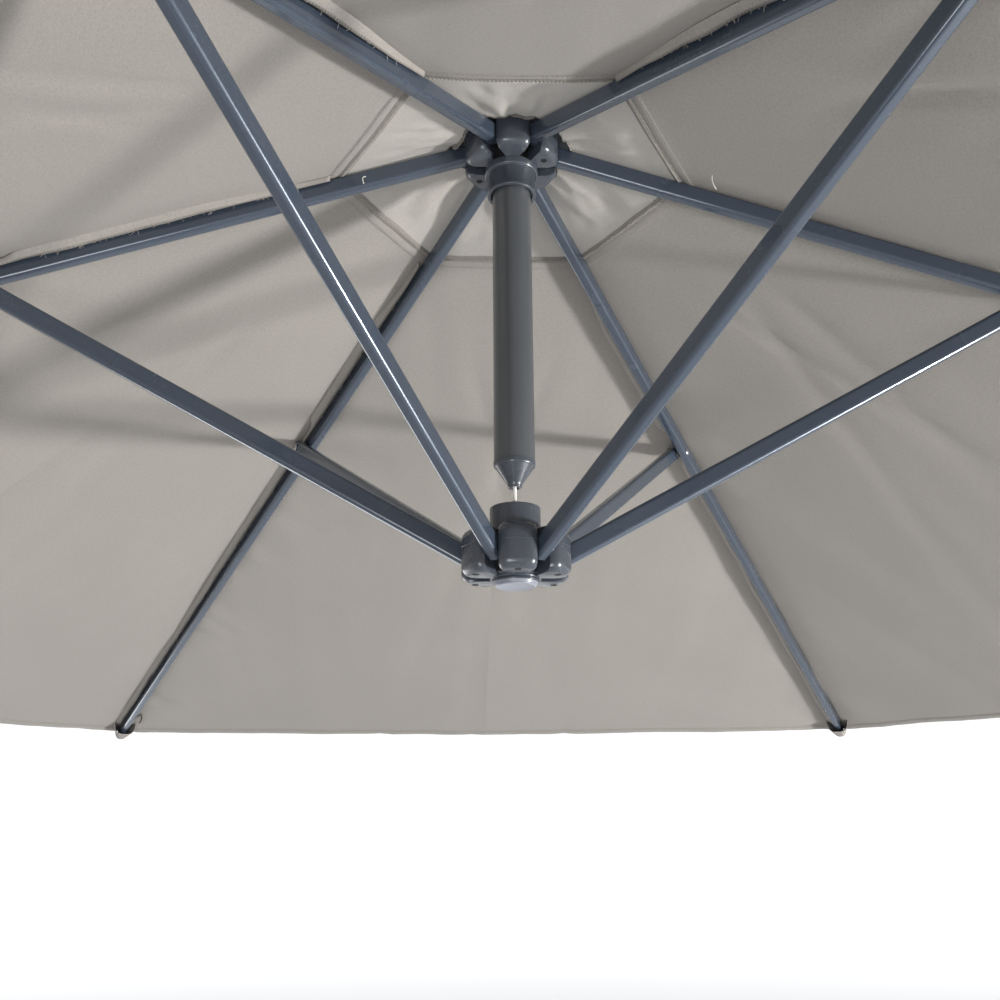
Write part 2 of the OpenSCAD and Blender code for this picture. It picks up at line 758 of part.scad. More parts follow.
module canopy(k) {
    lower = concat(hem_points(canopy_hole_r, 0), hem_points(corner_r, 0));
    upper = concat(hem_points(canopy_hole_r, cloth_t), hem_points(corner_r, cloth_t));
    color(cloth_colour) at_rib(k) polyhedron(concat(lower, upper), [
        [0, 3, 4, 1], [1, 4, 5, 2], [6, 7, 10, 9], [7, 8, 11, 10], [0, 1, 7, 6], [1, 2, 8, 7],
        [3, 9, 10, 4], [4, 10, 11, 5], [0, 6, 9, 3], [2, 5, 11, 8]]);
}

base_bar_x();
base_bar_y();
base_end_caps();
ballast_tanks();
sand_fill();
filler_caps();
mast_foot();
foot_bolts();
mast_lower();
mast_upper();
mast_sleeve();
mast_screws();
crank_housing_left();
crank_housing_right();
housing_screws();
shaft_bushes();
hoist_cord();
arm_end_fork();
pulley_axle();
tilt_screws();
tilt_knob();
crank_shaft();
cord_drum();
crank_arm();
crank_knob();
cord_pulley();
crown_tube();
cone_end();
top_hub();
hub_pins();
crown_cap();
crown_knuckle();
runner_hub();
runner_cap();
runner_screws();
hoist_cord_drop();
rib(1);  // rib_1
rib(2);  // rib_2
rib(3);  // rib_3
rib(4);  // rib_4
rib(5);  // rib_5
rib(6);  // rib_6
rib_fittings(1);  // rib_fittings_1
rib_fittings(2);  // rib_fittings_2
rib_fittings(3);  // rib_fittings_3
rib_fittings(4);  // rib_fittings_4
rib_fittings(5);  // rib_fittings_5
rib_fittings(6);  // rib_fittings_6
strut(1);  // strut_1
strut(2);  // strut_2
strut(3);  // strut_3
strut(4);  // strut_4
strut(5);  // strut_5
strut(6);  // strut_6
canopy(1);  // canopy_1
canopy(2);  // canopy_2
canopy(3);  // canopy_3
canopy(4);  // canopy_4
canopy(5);  // canopy_5
canopy(6);  // canopy_6
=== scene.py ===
"""Looks for the cantilever parasol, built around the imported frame. Metres, +Z up, +Y from the mast to the canopy."""
import json
import math
import random

import bpy
from mathutils import Matrix, Vector, noise


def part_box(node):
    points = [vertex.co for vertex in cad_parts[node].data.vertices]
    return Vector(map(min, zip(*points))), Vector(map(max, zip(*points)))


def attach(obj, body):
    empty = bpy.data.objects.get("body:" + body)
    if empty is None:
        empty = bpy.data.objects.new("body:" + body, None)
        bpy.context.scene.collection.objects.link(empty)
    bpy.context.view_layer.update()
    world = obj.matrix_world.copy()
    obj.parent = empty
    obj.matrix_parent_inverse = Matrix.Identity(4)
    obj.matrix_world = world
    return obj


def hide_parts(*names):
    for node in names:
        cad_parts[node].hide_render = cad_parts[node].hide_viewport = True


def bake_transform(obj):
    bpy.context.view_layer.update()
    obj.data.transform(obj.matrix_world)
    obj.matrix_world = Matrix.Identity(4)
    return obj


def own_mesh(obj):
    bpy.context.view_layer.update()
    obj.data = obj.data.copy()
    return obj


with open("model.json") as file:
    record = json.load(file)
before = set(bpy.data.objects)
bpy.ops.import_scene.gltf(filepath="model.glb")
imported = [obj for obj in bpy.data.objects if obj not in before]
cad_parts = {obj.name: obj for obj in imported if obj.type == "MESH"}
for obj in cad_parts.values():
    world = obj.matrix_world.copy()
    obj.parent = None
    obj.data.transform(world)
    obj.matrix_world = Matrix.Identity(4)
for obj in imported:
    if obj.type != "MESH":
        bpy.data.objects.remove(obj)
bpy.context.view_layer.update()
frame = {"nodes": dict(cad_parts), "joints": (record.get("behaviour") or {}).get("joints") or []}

MM = 0.001
RIBS = range(1, 7)
random.seed(7)

# ---------------------------------------------------------------- places, from the frame


def middle(node):
    low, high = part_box(node)
    return (low + high) / 2


def size(node):
    low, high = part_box(node)
    return high - low


JOINTS = {j["name"]: j for j in frame["joints"]}
HUB = middle("hub_pins")                                  # on the hub axis, in the plane of the rib pivots
PIVOT_R = (Vector(JOINTS["rib_fold_1"]["pos_m"]) - HUB).length
RUNNER_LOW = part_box("runner_hub")[0].z
STRUT_Z = RUNNER_LOW + 20 * MM                            # plane of the strut pivots
RIB_W = size("rib_1").y
RIB_H = 19 * MM
CLOTH_T = 2 * MM
CORNER_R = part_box("canopy_1")[1].x
HOLE_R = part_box("canopy_1")[0].x / 0.75 + 0.0004
SHEET_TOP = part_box("canopy_1")[1].z - HUB.z - CLOTH_T     # underside of the cloth over the rib at HOLE_R
SHEET_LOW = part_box("canopy_1")[0].z - HUB.z
SLOPE = (SHEET_TOP - SHEET_LOW) / (CORNER_R - HOLE_R)     # fall of the cloth per metre along a rib
PANEL_FALL = 0.577                                        # share of SLOPE by which a panel falls to each side of a rib
TILT = math.atan(SLOPE)
RIB_END = PIVOT_R + (CORNER_R - PIVOT_R) * 0.981
SEAM_R = 175.7 * MM                                       # corner radius of the inner hexagonal seam
JOINT_R = (Vector(JOINTS["strut_fold_1"]["pos_m"]) - HUB).xy.length


class Rib:
    """Directions at rib k: out along it in plan, and left of it, anticlockwise from above."""

    def __init__(self, k):
        angle = math.radians(60 * (k - 1))
        self.out = Vector((math.cos(angle), math.sin(angle), 0))
        self.left = Vector((-math.sin(angle), math.cos(angle), 0))

    def at(self, r, side=0.0, z=0.0):
        return HUB + self.out * r + self.left * side + Vector((0, 0, z))


RIB = {k: Rib(k) for k in RIBS}


def sheet_z(r):
    """Height of the cloth's plain underside over a rib, from the hub's plane, at distance r."""
    return SHEET_TOP - SLOPE * (r - HOLE_R)


# ---------------------------------------------------------------- camera and light

CAMERA_FROM_HUB = Vector((-0.046, -0.8862, -0.6456))
CAMERA_YAW, CAMERA_PITCH, CAMERA_ROLL = math.radians(2.1), math.radians(17.42), math.radians(-0.37)
LENS, SENSOR = 36.92, 36.0


def place_camera():
    camera = bpy.data.objects.new("camera", bpy.data.cameras.new("camera"))
    bpy.context.scene.collection.objects.link(camera)
    camera.data.lens, camera.data.sensor_width = LENS, SENSOR
    camera.data.clip_start = 0.02
    camera.data.clip_end = 200
    look = Vector((math.sin(CAMERA_YAW) * math.cos(CAMERA_PITCH), math.cos(CAMERA_YAW) * math.cos(CAMERA_PITCH),
                   math.sin(CAMERA_PITCH)))
    turn = look.to_track_quat("-Z", "Y").to_matrix().to_4x4() @ Matrix.Rotation(CAMERA_ROLL, 4, "Z")
    camera.matrix_world = Matrix.Translation(HUB + CAMERA_FROM_HUB) @ turn
    bpy.context.scene.camera = camera


def area_light(name, place, target, width, power, colour=(1, 1, 1)):
    lamp = bpy.data.objects.new(name, bpy.data.lights.new(name, "AREA"))
    lamp.data.shape = "DISK"
    lamp.data.size = width
    lamp.data.energy = power
    lamp.data.color = colour
    bpy.context.scene.collection.objects.link(lamp)
    lamp.matrix_world = Matrix.Translation(place) @ (target - place).to_track_quat("-Z", "Y").to_matrix().to_4x4()


def light_the_scene():
    runner = Vector((HUB.x, HUB.y, STRUT_Z))
    key_way = Vector((0.912, -0.249, -0.327))
    area_light("key_light", runner + key_way * 5.2, runner, 0.5, 370, (1, 0.985, 0.96))
    area_light("side_softbox", runner + Vector((4.4, -1.4, -1.1)), runner, 2.4, 90)
    area_light("back_softbox", runner + Vector((-2.4, 3.2, -1.5)), runner, 2.2, 42)
    area_light("front_light", runner + Vector((-0.7, -2.4, -1.1)), runner, 1.2, 26)
    world = bpy.data.worlds.new("studio")
    bpy.context.scene.world = world
    world.use_nodes = True
    tree = world.node_tree
    back = tree.nodes["Background"]
    back.inputs["Color"].default_value = (0.97, 0.985, 1, 1)
    seen = tree.nodes.new("ShaderNodeLightPath").outputs["Is Camera Ray"]
    strength = tree.nodes.new("ShaderNodeMapRange")
    strength.inputs["To Min"].default_value = 0.6
    strength.inputs["To Max"].default_value = 1.1
    tree.links.new(seen, strength.inputs["Value"])
    tree.links.new(strength.outputs["Result"], back.inputs["Strength"])
    bpy.context.scene.view_settings.view_transform = "Standard"


# ---------------------------------------------------------------- materials


def new_group(name, inputs, outputs):
    """A shader node group with named sockets. inputs are (name, type, default) and outputs (name, type)."""
    group = bpy.data.node_groups.new(name, "ShaderNodeTree")
    for label, kind, default in inputs:
        socket = group.interface.new_socket(name=label, in_out="INPUT", socket_type="NodeSocket" + kind)
        socket.default_value = default
    for label, kind in outputs:
        group.interface.new_socket(name=label, in_out="OUTPUT", socket_type="NodeSocket" + kind)
    return group, group.nodes.new("NodeGroupInput"), group.nodes.new("NodeGroupOutput")


def math_node(tree, operation, a, b=None):
    node = tree.nodes.new("ShaderNodeMath")
    node.operation = operation
    for socket, value in zip(node.inputs, (a, b)):
        if value is None:
            continue
        if isinstance(value, (int, float)):
            socket.default_value = value
        else:
            tree.links.new(value, socket)
    return node.outputs[0]


def noise_node(tree, vector, scale, detail=2.0, rough=0.5):
    node = tree.nodes.new("ShaderNodeTexNoise")
    node.inputs["Scale"].default_value = scale
    node.inputs["Detail"].default_value = detail
    node.inputs["Roughness"].default_value = rough
    tree.links.new(vector, node.inputs["Vector"])
    return node.outputs["Fac"]


def mix_colour(tree, factor, a, b):
    node = tree.nodes.new("ShaderNodeMix")
    node.data_type = "RGBA"
    tree.links.new(factor, node.inputs["Factor"])
    for socket, value in ((node.inputs["A"], a), (node.inputs["B"], b)):
        if isinstance(value, tuple):
            socket.default_value = value
        else:
            tree.links.new(value, socket)
    return node.outputs["Result"]


def spread(tree, value, low, high, to_low=0.0, to_high=1.0):
    node = tree.nodes.new("ShaderNodeMapRange")
    for label, number in (("From Min", low), ("From Max", high), ("To Min", to_low), ("To Max", to_high)):
        node.inputs[label].default_value = number
    tree.links.new(value, node.inputs["Value"])
    return node.outputs["Result"]


def place_of(tree):
    return tree.nodes.new("ShaderNodeTexCoord").outputs["Object"]


def make_weave_group():
    """Plain weave of fine yarn: two crossing sets of ridges, slubs and soft patches."""
    group, gin, gout = new_group(
        "cloth_weave",
        [("Colour", "Color", (0.4, 0.37, 0.34, 1)), ("Yarn Pitch", "Float", 0.0012), ("Patch", "Float", 0.12)],
        [("Colour", "Color"), ("Height", "Float"), ("Roughness", "Float")])
    tree = group
    uv = tree.nodes.new("ShaderNodeUVMap").outputs["UV"]
    split = tree.nodes.new("ShaderNodeSeparateXYZ")
    tree.links.new(uv, split.inputs[0])
    turns = math_node(tree, "DIVIDE", 2 * math.pi, gin.outputs["Yarn Pitch"])
    warp = math_node(tree, "SINE", math_node(tree, "MULTIPLY", split.outputs["X"], turns))
    weft = math_node(tree, "SINE", math_node(tree, "MULTIPLY", split.outputs["Y"], turns))
    ridges = math_node(tree, "MULTIPLY", warp, weft)
    grain = noise_node(tree, uv, 620, 3, 0.6)
    slub = noise_node(tree, uv, 260, 2)
    soft = noise_node(tree, uv, 3.2, 3)
    height = math_node(tree, "ADD", math_node(tree, "MULTIPLY", ridges, 0.35), grain)
    height = math_node(tree, "ADD", height, math_node(tree, "MULTIPLY", slub, 0.5))
    shade = math_node(tree, "ADD", math_node(tree, "MULTIPLY", spread(tree, grain, 0.3, 0.7, -1, 1), 0.12),
                      math_node(tree, "MULTIPLY", spread(tree, slub, 0.3, 0.7, -1, 1), 0.06))
    patch = math_node(tree, "MULTIPLY", spread(tree, soft, 0.3, 0.7, -0.5, 0.5), gin.outputs["Patch"])
    value = math_node(tree, "ADD", math_node(tree, "ADD", shade, patch), 1.0)
    tint = tree.nodes.new("ShaderNodeHueSaturation")
    tree.links.new(gin.outputs["Colour"], tint.inputs["Color"])
    tree.links.new(value, tint.inputs["Value"])
    tree.links.new(tint.outputs["Color"], gout.inputs["Colour"])
    tree.links.new(height, gout.inputs["Height"])
    tree.links.new(spread(tree, slub, 0.3, 0.7, 0.82, 0.95), gout.inputs["Roughness"])
    return group


def make_coat_group():
    """Sprayed or moulded skin: a fine ripple, faint dust and slow colour drift."""
    group, gin, gout = new_group(
        "skin_finish",
        [("Colour", "Color", (0.06, 0.07, 0.09, 1)), ("Dust", "Color", (0.3, 0.3, 0.3, 1)),
         ("Ripple Scale", "Float", 900.0), ("Dust Amount", "Float", 0.15), ("Gloss", "Float", 0.3)],
        [("Colour", "Color"), ("Height", "Float"), ("Roughness", "Float")])
    tree = group
    place = place_of(tree)
    ripple = tree.nodes.new("ShaderNodeTexNoise")
    tree.links.new(place, ripple.inputs["Vector"])
    tree.links.new(gin.outputs["Ripple Scale"], ripple.inputs["Scale"])
    ripple.inputs["Detail"].default_value = 1.0
    drift = noise_node(tree, place, 9, 4, 0.6)
    specks = spread(tree, noise_node(tree, place, 420, 2, 0.7), 0.66, 0.74)
    haze = spread(tree, drift, 0.25, 0.85)
    dust = math_node(tree, "MULTIPLY", math_node(tree, "MAXIMUM", specks, math_node(tree, "MULTIPLY", haze, 0.5)),
                     gin.outputs["Dust Amount"])
    tree.links.new(mix_colour(tree, dust, gin.outputs["Colour"], gin.outputs["Dust"]), gout.inputs["Colour"])
    tree.links.new(ripple.outputs["Fac"], gout.inputs["Height"])
    rough = math_node(tree, "ADD", gin.outputs["Gloss"], math_node(tree, "MULTIPLY", dust, 0.9))
    rough = math_node(tree, "ADD", rough, spread(tree, drift, 0.3, 0.7, -0.04, 0.05))
    tree.links.new(rough, gout.inputs["Roughness"])
    return group


WEAVE = make_weave_group()
COAT = make_coat_group()


def material_with(name, group, values, bump, depth, **shader):
    """A Principled material whose colour, roughness and bump come from a node group."""
    material = bpy.data.materials.new(name)
    material.use_nodes = True
    tree = material.node_tree
    skin = tree.nodes["Principled BSDF"]
    source = tree.nodes.new("ShaderNodeGroup")
    source.node_tree = group
    for label, value in values.items():
        source.inputs[label].default_value = value
    tree.links.new(source.outputs["Colour"], skin.inputs["Base Color"])
    tree.links.new(source.outputs["Roughness"], skin.inputs["Roughness"])
    relief = tree.nodes.new("ShaderNodeBump")
    relief.inputs["Strength"].default_value = bump
    relief.inputs["Distance"].default_value = depth
    tree.links.new(source.outputs["Height"], relief.inputs["Height"])
    tree.links.new(relief.outputs["Normal"], skin.inputs["Normal"])
    for label, value in shader.items():
        skin.inputs[label.replace("_", " ")].default_value = value
    return material


def coated(name, colour, gloss, ripple=900.0, dust=0.12, bump=0.15, depth=0.0003, dust_colour=(0.25, 0.26, 0.28, 1),
           **shader):
    return material_with(name, COAT, {"Colour": (*colour, 1), "Gloss": gloss, "Ripple Scale": ripple,
                                      "Dust Amount": dust, "Dust": dust_colour}, bump, depth, **shader)


def woven(name, colour, pitch=0.0012, patch=0.06, bump=0.35, depth=0.0004, **shader):
    return material_with(name, WEAVE, {"Colour": (*colour, 1), "Yarn Pitch": pitch, "Patch": patch}, bump, depth,
                         **shader)


PAINT = coated("anthracite_powder_coat", (0.040, 0.049, 0.066), 0.24, 1100, 0.05, 0.22, 0.0002, Coat_Weight=0.8,
               Coat_Roughness=0.10, Coat_Tint=(0.86, 0.93, 1, 1), Specular_Tint=(0.86, 0.93, 1, 1))
MOULDED = coated("glossy_moulded_grey", (0.038, 0.045, 0.058), 0.24, 240, 0.12, 0.10, 0.0005, Coat_Weight=0.35,
                 Coat_Roughness=0.14)
POLE_PAINT = coated("pole_powder_coat", (0.054, 0.059, 0.066), 0.3, 1100, 0.05, 0.2, 0.0002, Coat_Weight=0.6,
                    Coat_Roughness=0.12)
MATT_BLACK = coated("black_grained_plastic", (0.018, 0.019, 0.021), 0.48, 700, 0.16, 0.35, 0.0003)
TANK = coated("blow_moulded_tank", (0.030, 0.032, 0.036), 0.5, 380, 0.25, 0.4, 0.0006)
CAP_GREY = coated("lilac_grey_cap", (0.235, 0.245, 0.29), 0.3, 400, 0.1, 0.05, 0.0003)
NYLON = coated("ivory_nylon", (0.62, 0.59, 0.52), 0.4, 500, 0.08, 0.08, 0.0003)
ZINC = coated("bright_zinc", (0.62, 0.63, 0.65), 0.24, 800, 0.2, 0.12, 0.0002, (0.2, 0.2, 0.2, 1), Metallic=1.0)
# Near-black painted shade, used for the ring inside the hub slots and for the screw recesses.
PAINTED_SHADE_BLACK = coated("painted_recess_shade", (0.004, 0.004, 0.005), 0.8, 500, 0.0, 0.0, 0.0001)
CLOTH = woven("taupe_polyester", (0.238, 0.222, 0.203), Sheen_Weight=0.05, Sheen_Roughness=0.5)
# Painted light: a faint emission makes the cloth inside the hexagonal seam glow, lifting it out of its shade.
CLOTH_PAINTED_GLOW = woven("taupe_cloth_painted_glow", (0.238, 0.222, 0.203), Sheen_Weight=0.05, Sheen_Roughness=0.5,
                   Emission_Color=(1, 0.97, 0.92, 1), Emission_Strength=0.10)
CLOTH_EDGE = woven("taupe_overlocked_edge", (0.205, 0.191, 0.173), 0.0035, 0.1, 0.9, 0.0009)
SEAM_THREAD = woven("seam_thread", (0.30, 0.28, 0.25), 0.0008, 0.0, 0.3, 0.0002)
THREAD = woven("loose_thread", (0.70, 0.68, 0.62), 0.0008, 0.0, 0.3, 0.0002)
CORD = woven("braided_hoist_cord", (0.72, 0.71, 0.68), 0.0022, 0.0, 0.8, 0.0005)
SAND = coated("dry_sand", (0.5, 0.4, 0.25), 0.9, 900, 0.3, 0.8, 0.001)

# ---------------------------------------------------------------- mesh helpers


def add_mesh(name, verts, faces, materials, sharp=35, uvs=None, face_material=None):
    mesh = bpy.data.meshes.new(name)
    mesh.from_pydata([tuple(v) for v in verts], [], faces)
    mesh.validate()
    for material in materials if isinstance(materials, (list, tuple)) else [materials]:
        mesh.materials.append(material)
    if face_material:
        mesh.polygons.foreach_set("material_index", face_material)
    mesh.shade_smooth()
    mesh.set_sharp_from_angle(angle=math.radians(sharp))
    layer = mesh.uv_layers.new(name="UVMap")
    for loop in mesh.loops:
        v = mesh.vertices[loop.vertex_index].co
        layer.data[loop.index].uv = uvs[loop.vertex_index] if uvs else (v.x + v.z * 0.37, v.y + v.z * 0.61)
    piece = bpy.data.objects.new(name, mesh)
    bpy.context.scene.collection.objects.link(piece)
    return piece


def grid_faces(rows, cols, offset=0, wrap=False, flip=False):
    """Quads of a grid of rows by cols points, numbered row by row."""
    faces = []
    for i in range(rows - 1):
        for j in range(cols if wrap else cols - 1):
            k = (j + 1) % cols
            quad = [offset + i * cols + j, offset + i * cols + k, offset + (i + 1) * cols + k,
                    offset + (i + 1) * cols + j]
            faces.append(quad[::-1] if flip else quad)
    return faces


def arc(cx, cy, r, a0, a1, n=6):
    """Points of an arc, degrees."""
    return [(cx + r * math.cos(math.radians(a0 + (a1 - a0) * i / n)),
             cy + r * math.sin(math.radians(a0 + (a1 - a0) * i / n))) for i in range(n + 1)]


def end_faces(rings, steps):
    """Faces that close the first and last ring of a wrapped grid."""
    return [list(range(steps))[::-1], [(rings - 1) * steps + j for j in range(steps)]]


def lathe_mesh(profile, place, steps=64, axis="Z"):
    """Turned shape. profile runs up the outside as (radius, height). A profile that ends where it starts is a ring."""
    verts, faces = [], []
    for r, z in profile:
        for j in range(steps):
            a = 2 * math.pi * j / steps
            verts.append(Vector((r * math.cos(a), r * math.sin(a), z)))
    faces = grid_faces(len(profile), steps, wrap=True)
    if profile[0] != profile[-1]:
        faces += end_faces(len(profile), steps)
    if axis == "X":
        verts = [Vector((v.z, v.x, v.y)) for v in verts]
    if axis == "Y":
        verts = [Vector((v.y, v.z, v.x)) for v in verts]
    return [v + place for v in verts], faces


def join_parts(parts):
    """One list of points and faces from several."""
    verts, faces = [], []
    for points, quads in parts:
        base = len(verts)
        verts += points
        faces += [[base + i for i in f] for f in quads]
    return verts, faces


def sweep_mesh(points, radius, sides=10, closed_ends=True):
    """Round tube along points. radius is a number or a list of one per point."""
    verts = []
    count = len(points)
    side = None
    for i, p in enumerate(points):
        way = (points[min(i + 1, count - 1)] - points[max(i - 1, 0)]).normalized()
        if side is None:
            side = way.orthogonal().normalized()
        side = (side - way * side.dot(way)).normalized()
        up = way.cross(side)
        r = radius[i] if isinstance(radius, (list, tuple)) else radius
        for j in range(sides):
            a = 2 * math.pi * j / sides
            verts.append(p + side * (r * math.cos(a)) + up * (r * math.sin(a)))
    faces = grid_faces(count, sides, wrap=True)
    if closed_ends:
        faces.append(list(range(sides))[::-1])
        faces.append([(count - 1) * sides + j for j in range(sides)])
    return verts, faces


def wave(seed, x, y=0.0):
    """Smooth noise from -1 to 1 that is the same each run."""
    return noise.noise(Vector((x + 13.7 * seed, y - 7.3 * seed, 1.9 * seed)))


def ease(x, low, high):
    t = min(1, max(0, (x - low) / (high - low)))
    return t * t * (3 - 2 * t)


def use_material(node, material, sharp=35):
    """Gives a carried-over CAD node its material and smooth shading."""
    mesh = frame["nodes"][node].data
    mesh.materials.clear()
    mesh.materials.append(material)
    if mesh.has_custom_normals:
        return
    mesh.shade_smooth()
    mesh.set_sharp_from_angle(angle=math.radians(sharp))


# ---------------------------------------------------------------- canopy


def cloth_drop(panel, r, w):
    """How far the cloth hangs below its plane, at hub distance r and share w across panel, from rib to next rib."""
    tip = r / CORNER_R
    across = math.sin(math.pi * w)
    near_rib = math.exp(-w * r / 0.08) + math.exp(-(1 - w) * r / 0.08)
    lateral = (w - 0.5) * r
    sag = 0.009 * across * min(1, tip * 1.6)
    folds = 0.0022 * wave(panel, lateral * 7, r * 1.4) * ease(r, 0.2, 0.5)
    folds += 0.0010 * wave(panel + 20, lateral * 24, r * 2.2)
    slack = 0.35 + 0.65 * ease(wave(panel + 30, r * 1.8, w * 2), 0.0, 0.35)
    pucker = 0.0052 * wave(panel + 40, r * 20 + lateral * 26, lateral * 9) * near_rib * ease(r, 0.3, 0.6) * slack
    for turn in (0.24, -0.17, 0.05):
        line = lateral - turn * (r - 0.5) - 0.12 * wave(panel + 50, turn * 40)
        pucker -= 0.0020 * math.exp(-(line / 0.010) ** 2) * ease(r, 0.3, 0.45)
    hub = (1 - ease(r, 0.12, 0.19)) * across
    crush = 0.0095 * hub * wave(panel + 60, w * 4.5 + r * 5, r * 16)
    crush += 0.0034 * hub * wave(panel + 80, w * 9, r * 32)
    hole = 0.004 * (1 - ease(r, HOLE_R, HOLE_R + 0.022)) * (0.6 + 0.8 * wave(panel + 90, w * 5))
    seam_pull = 0.0012 * math.exp(-((r - SEAM_R) / 0.012) ** 2)
    return (sag + folds + pucker) * ease(r, HOLE_R, 0.2) + crush + hole * across + seam_pull * across


def ragged(panel, w):
    """How far the cut edge of the cloth round the hub stands back from its plain line."""
    return 0.0055 + 0.0055 * wave(panel + 120, w * 5) + 0.0012 * wave(panel + 130, w * 30)


def panel_place(k, v):
    """The panel that v lies in on rib k's cloth, and the share of the way across it."""
    share = abs(v) / 2
    return (k, share) if v >= 0 else ((k - 2) % 6 + 1, 1 - share)


def sector_point(k, r, v, below=0.0):
    """Point of the cloth of rib k: v is -1 at the right mid-panel line, 0 on the rib, 1 at the left one."""
    share = abs(v) / 2
    panel, w = panel_place(k, v)
    r += ragged(panel, w) * (1 - ease(r, HOLE_R, HOLE_R + 0.03))
    back = share * r / 2
    side = math.copysign(share * r * math.cos(math.radians(30)), v)
    z = sheet_z(r) - cloth_drop(panel, r, w) * math.cos(TILT) - below
    return RIB[k].at(r - back, side, z)


def radius_steps():
    steps = [HOLE_R]
    while steps[-1] < CORNER_R - 0.012:
        r = steps[-1]
        steps.append(r + (0.0035 if r < 0.2 else 0.012))
    steps[-1] = CORNER_R
    return steps


def across_steps(count):
    return [math.copysign(abs(t) ** 1.35, t) for t in (2 * j / count - 1 for j in range(count + 1))]


def band(k, r0, r1, below, count):
    """Points and faces of a strip of the sector's cloth from r0 to r1, a little below it."""
    cols = across_steps(count)
    rows = [r0, (2 * r0 + r1) / 3, (r0 + 2 * r1) / 3, r1]
    depth = [below * 0.3, below, below, below * 0.3]
    verts = [sector_point(k, r, v, d) for r, d in zip(rows, depth) for v in cols]
    uvs = [(v * r / 2, r) for r in rows for v in cols]
    return verts, uvs, grid_faces(len(rows), len(cols), flip=True)


def stitches(k, r, pitch, length, below):
    """A row of short raised stitches across the sector at hub distance r."""
    verts, uvs, faces = [], [], []
    count = int(r / pitch)
    for i in range(count):
        v0 = 2 * (i + 0.5) / count - 1
        half = length / r
        a, b = sector_point(k, r, v0 - half, below), sector_point(k, r, v0 + half, below)
        way = (b - a).normalized()
        thick = Vector((0, 0, 0.00045))
        wide = way.cross(Vector((0, 0, 1))).normalized() * 0.00045
        base = len(verts)
        for p in (a, b):
            verts += [p + wide, p - thick, p - wide, p + thick]
            uvs += [(v0 * r / 2, r)] * 4
        faces += [[base + j, base + (j + 1) % 4, base + 4 + (j + 1) % 4, base + 4 + j] for j in range(4)]
        faces += [[base + 3, base + 2, base + 1, base], [base + 4, base + 5, base + 6, base + 7]]
    return verts, uvs, faces


def zigzag(k, r, pitch, reach, below):
    """Overlock thread that runs from side to side along the seam at hub distance r."""
    count = int(r / pitch) * 2
    points = [sector_point(k, r + reach * (0.5 if i % 2 else -0.5), 2 * i / count - 1, below) for i in range(count + 1)]
    verts, faces = sweep_mesh(points, 0.00045, 4)
    return verts, [(v.x, v.y) for v in verts], faces


def canopy_sector(k):
    """Cloth of two half panels on rib k, with the inner seam, the hem and their stitches."""
    rows, cols = radius_steps(), across_steps(72)
    verts = [sector_point(k, r, v) for r in rows for v in cols]
    uvs = [(v * r / 2, r) for r in rows for v in cols]
    faces = grid_faces(len(rows), len(cols), flip=True)
    # Faces inside the hexagonal seam take the faintly glowing cloth, painted light.
    kinds = [3 if rows[i // (len(cols) - 1)] < SEAM_R - 0.009 else 0 for i in range(len(faces))]
    strips = [(*band(k, SEAM_R - 0.0085, SEAM_R - 0.0005, 0.0013, 48), 1),
              (*band(k, SEAM_R, SEAM_R + 0.0105, 0.0008, 48), 0),
              (*band(k, CORNER_R - 0.020, CORNER_R - 0.0005, 0.0008, 72), 0),
              (*stitches(k, SEAM_R + 0.0085, 0.0042, 0.0013, 0.0012), 1),
              (*zigzag(k, SEAM_R - 0.0045, 0.0034, 0.0022, 0.0017), 2),
              (*stitches(k, CORNER_R - 0.017, 0.0042, 0.0014, 0.0011), 1)]
    for points, spots, quads, kind in strips:
        base = len(verts)
        verts += points
        uvs += spots
        faces += [[base + i for i in f] for f in quads]
        kinds += [kind] * len(quads)
    piece = add_mesh(f"canopy_sector_{k}", verts, faces, [CLOTH, CLOTH_EDGE, SEAM_THREAD, CLOTH_PAINTED_GLOW], 60, uvs, kinds)
    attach(piece, f"rib_{k}")
    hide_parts(f"canopy_{k}")
    RIB[k].at(0.5)
    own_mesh(piece)


def flap_side(k):
    """The side of rib k on which the seam allowance lies: 1 is left of the rib, seen outwards from the hub."""
    return -1 if k == 6 else 1


def flap_width(k, r):
    """Width of the seam allowance; it is cut away where the strut meets the rib."""
    grow = ease(r, SEAM_R, SEAM_R + 0.14) * ease(abs(r - JOINT_R), 0.028, 0.05)
    return 0.0012 + (0.0085 + 0.0030 * wave(k, r * 7) + 0.0008 * wave(k + 5, r * 160)) * grow


def flap_point(k, r, share):
    """Point of the seam allowance: share is 0 at its seam and 1 at the frayed edge beside the rib."""
    width = flap_width(k, r)
    side = RIB_W / 2 + 0.0034 + 0.0022 * wave(k + 9, r * 11) + width * (1 - share)
    fall = 0.0006 + 0.0016 * min(1, share * 5) + 0.0046 * share + 0.0020 * wave(k + 14, r * 26, share) * share
    return RIB[k].at(r, flap_side(k) * side, sheet_z(r) - side * SLOPE * PANEL_FALL - fall)


def seam_flap(k):
    """Seam allowance of the two panels, which lies beside the rib with its frayed edge down."""
    start, end = SEAM_R + 0.004, RIB_END - 0.03
    rows = int((end - start) / 0.004)
    shares = (0, 0.03, 0.35, 0.7, 1.0)
    verts, uvs = [], []
    for i in range(rows + 1):
        r = start + (end - start) * i / rows
        verts += [flap_point(k, r, share) for share in shares]
        uvs += [(share * 0.01, r) for share in shares]
    faces = grid_faces(rows + 1, len(shares))
    kinds = [1 if i % 4 == 3 else 0 for i in range(len(faces))]
    piece = add_mesh(f"seam_allowance_{k}", verts, faces, [CLOTH, CLOTH_EDGE], 40, uvs, kinds)
    solid = piece.modifiers.new("thickness", "SOLIDIFY")
    solid.thickness = 0.0007
    solid.offset = 0
    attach(piece, f"rib_{k}")


